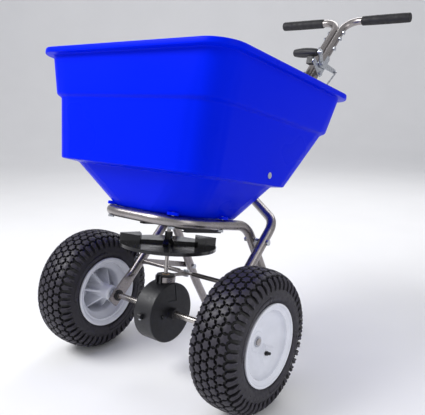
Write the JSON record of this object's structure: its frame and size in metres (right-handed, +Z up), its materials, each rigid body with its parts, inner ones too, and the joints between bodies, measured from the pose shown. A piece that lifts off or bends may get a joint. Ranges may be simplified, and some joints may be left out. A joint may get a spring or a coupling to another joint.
{
  "type": "broadcast spreader",
  "caption": "Push broadcast spreader: tapered open hopper on a bent-tube frame, axle-driven spinner disc, hand lever and two pneumatic wheels.",
  "frame": {"origin": "on the floor under the middle of the bounding box", "axes": "+X to the right as seen from the front, along the axle; +Y back towards the handlebars; +Z up"},
  "size_m": [0.652, 1.1396, 0.9612],
  "materials": {
    "hopper_blue": "moulded polyethylene, semi-gloss",
    "stainless_tube": "satin drawn stainless tube",
    "zinc": "bright zinc plate",
    "black_plastic": "moulded black nylon",
    "gloss_black": "glossy black moulding",
    "rim_white": "white moulded rim",
    "tyre_rubber": "block-tread tyre rubber",
    "grip_foam": "closed-cell foam grip",
    "bronze": "sintered bronze",
    "gear_steel": "powder-metal gear, oiled"
  },
  "bodies": {
    "frame": {"hoop_and_legs": "stainless_tube", "foot_caps": "black_plastic", "side_tube_right": "stainless_tube", "handle_tube_right": "stainless_tube", "side_brace_right": "stainless_tube", "grip_right": "grip_foam", "side_tube_left": "stainless_tube", "handle_tube_left": "stainless_tube", "side_brace_left": "stainless_tube", "grip_left": "grip_foam", "axle_bushes": "black_plastic", "cross_rod": "stainless_tube", "frame_bolts": "zinc", "frame_spacers": "zinc", "column_bolts": "zinc", "hopper": "hopper_blue", "hopper_bolts": "zinc", "hopper_side_screws": "zinc", "shutter_guide": "black_plastic", "guide_screws": "zinc", "shaft_top_bush": "bronze", "gearbox_upper_shell": "black_plastic", "gearbox_lower_shell": "black_plastic", "gearbox_screws": "zinc", "gearbox_axle_bushes": "bronze", "gearbox_shaft_bush": "bronze", "gearbox_strap": "stainless_tube", "strap_bolt": "zinc", "lever_bracket": "zinc", "gauge_block": "black_plastic", "gauge_screw": "zinc", "lever_pivot_bolt": "zinc"},
    "drive_axle": {"axle": "stainless_tube", "axle_gear": "gear_steel", "gear_pin": "zinc", "wheel_drive_pin": "zinc", "rim_left": "rim_white", "tyre_left": "tyre_rubber", "valve_stem_left": "tyre_rubber", "axle_spacers": "zinc", "axle_retaining_ring": "zinc"},
    "free_wheel": {"rim_right": "rim_white", "tyre_right": "tyre_rubber", "valve_stem_right": "tyre_rubber"},
    "spinner": {"spinner_disc": "gloss_black", "spinner_shaft": "stainless_tube", "spinner_pin": "zinc", "agitator": "stainless_tube", "pinion_pin": "zinc", "drive_pinion": "gear_steel"},
    "lever": {"rate_lever": "zinc", "lever_knob": "black_plastic", "knob_stud": "zinc"},
    "rod": {"control_rod": "stainless_tube"},
    "shutter": {"shutter_slide": "black_plastic"}
  },
  "joints": [
    {"name": "axle_spin", "type": "hinge", "parent": "frame", "child": "drive_axle", "pos_m": [0, -0.40484, 0.165], "axis": [1, 0, 0], "continuous": true},
    {"name": "free_wheel_spin", "type": "hinge", "parent": "frame", "child": "free_wheel", "pos_m": [0.266, -0.40484, 0.165], "axis": [1, 0, 0], "continuous": true},
    {"name": "spinner_spin", "type": "hinge", "parent": "frame", "child": "spinner", "pos_m": [0, -0.40484, 0.165], "axis": [0, 0.1357, 0.9907], "continuous": true},
    {"name": "lever_turn", "type": "hinge", "parent": "frame", "child": "lever", "pos_m": [0.033, 0.33828, 0.79404], "axis": [-1, 0, 0], "range_deg": [0, 16.25]},
    {"name": "rod_pivot", "type": "hinge", "parent": "lever", "child": "rod", "pos_m": [0.033, 0.43739, 0.76984], "axis": [1, 0, 0], "range_deg": [0, 13.8]},
    {"name": "shutter_travel", "type": "slide", "parent": "frame", "child": "shutter", "axis": [0, -0.9759, 0.2181], "range_m": [0, 0.0322]}
  ],
  "couplings": [
    {"joint": "spinner_spin", "follows": "axle_spin", "ratio": 4},
    {"joint": "rod_pivot", "follows": "lever_turn", "ratio": 0.8188},
    {"joint": "shutter_travel", "follows": "lever_turn", "m_per_rad": 0.11283}
  ]
}
